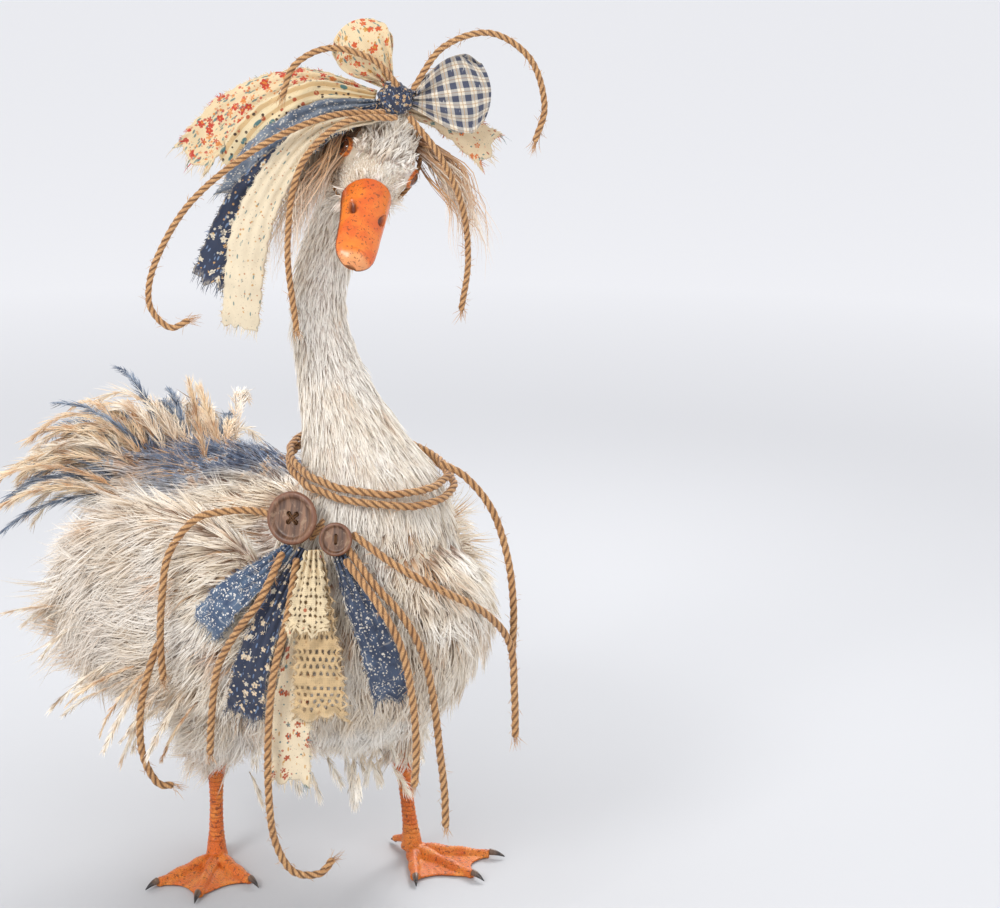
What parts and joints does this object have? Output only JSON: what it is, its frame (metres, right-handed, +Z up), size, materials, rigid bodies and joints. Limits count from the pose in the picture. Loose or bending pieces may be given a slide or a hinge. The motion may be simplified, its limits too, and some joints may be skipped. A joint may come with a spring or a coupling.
{
  "type": "goose figure",
  "caption": "Life-size standing domestic goose with loose curled feathers, head tilted, wearing a rag bow and a twine collar with wooden buttons and hanging rags.",
  "frame": {"origin": "on the floor, under the middle of the goose's box without its free cords", "axes": "+Z up; the goose looks towards -Y and its breast points 38 degrees from -Y towards +X"},
  "size_m": [0.5722, 0.6077, 0.8479],
  "materials": {
    "plumage": "matt cream feathers with buff, brown and slate markings",
    "bill": "glossy orange horn with dark specks",
    "leg": "orange scaled skin with dark specks",
    "claw": "dark grey horn",
    "eye": "polished brown eye",
    "twine": "three-ply jute twine",
    "button": "turned and waxed brown wood",
    "denim": "worn navy and blue twill with frayed ends",
    "calico": "cream printed cotton with frayed ends",
    "gingham": "navy, tan and white checked cotton",
    "lace": "cream and tan cotton lace"
  },
  "bodies": {
    "root": {"trunk": "plumage", "wing_left": "plumage", "wing_right": "plumage", "tail": "plumage", "head": "plumage", "neck": "plumage", "thigh_left": "plumage", "thigh_right": "plumage", "bill_upper": "bill", "bill_lower": "bill", "foot_left": "leg", "foot_right": "leg", "shank_left": "leg", "shank_right": "leg", "claw_inner_left": "claw", "claw_inner_right": "claw", "claw_middle_left": "claw", "claw_middle_right": "claw", "claw_outer_left": "claw", "claw_outer_right": "claw", "eye_left": "eye", "eye_right": "eye", "twine_head_crest": "twine", "twine_head_far": "twine", "twine_head_arch": "twine", "twine_cheek_left": "twine", "twine_cheek_right": "twine", "twine_wing": "twine", "twine_side": "twine", "twine_long": "twine", "twine_breast": "twine", "twine_short": "twine", "twine_belly": "twine", "twine_flank": "twine", "twine_shoulder": "twine", "twine_headband": "twine", "collar_twine_lower": "twine", "collar_twine_upper": "twine", "collar_knot": "twine", "button_large": "button", "button_small": "button", "bow_knot": "denim", "rag_head_denim": "denim", "rag_head_navy": "denim", "rag_collar_denim": "denim", "rag_collar_navy": "denim", "rag_collar_dark": "denim", "bow_loop_calico": "calico", "rag_head_floral": "calico", "rag_head_dotted": "calico", "rag_head_leafy": "calico", "rag_head_right": "calico", "rag_collar_calico": "calico", "bow_loop_gingham": "gingham", "rag_collar_crochet": "lace", "rag_collar_lace": "lace"}
  },
  "joints": []
}
